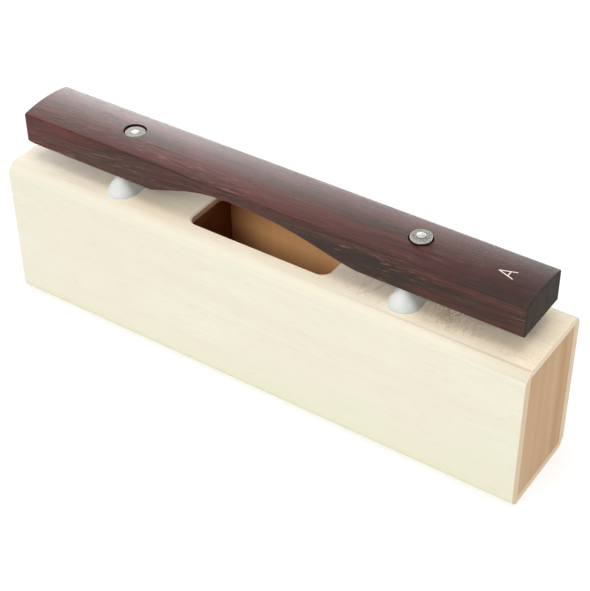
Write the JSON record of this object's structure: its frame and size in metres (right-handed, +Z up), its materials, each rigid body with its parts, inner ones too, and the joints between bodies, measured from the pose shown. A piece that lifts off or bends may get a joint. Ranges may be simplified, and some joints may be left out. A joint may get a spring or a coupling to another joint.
{
  "type": "resonator bar",
  "caption": "Rosewood tone bar with an arched underside, floating on white supports above a closed wooden resonator box with a sound slot in its top.",
  "frame": {"origin": "middle of the resonator box's underside, on the surface that it stands on", "axes": "+Z up, +X along the tone bar, -Y the front"},
  "size_m": [0.361, 0.064, 0.1362],
  "materials": {
    "top_wood": "satin",
    "pale_wood": "satin",
    "end_wood": "satin",
    "inner_wood": "matte",
    "rosewood": "satin",
    "white_plastic": "satin",
    "black_rubber": "matte",
    "grey_felt": "matte",
    "bright_metal": "polished"
  },
  "bodies": {
    "resonator_box": {"top_board": "top_wood", "bottom_board": "pale_wood", "front_side_board": "pale_wood", "rear_side_board": "pale_wood", "left_end_board": "end_wood", "right_end_board": "end_wood", "left_chamber_wall": "inner_wood", "right_chamber_wall": "inner_wood", "left_pin_block": "inner_wood", "right_pin_block": "inner_wood", "left_bar_support": "white_plastic", "right_bar_support": "white_plastic", "left_pin_sleeve": "black_rubber", "right_pin_sleeve": "black_rubber", "left_felt_washer": "grey_felt", "right_felt_washer": "grey_felt", "left_fixing_pin": "bright_metal", "right_fixing_pin": "bright_metal"},
    "floating_bar": {"tone_bar": "rosewood"}
  },
  "joints": [
    {"name": "bar_lift", "type": "slide", "parent": "resonator_box", "child": "floating_bar", "axis": [0, 0, 1], "range_m": [0, 0.0009]}
  ]
}
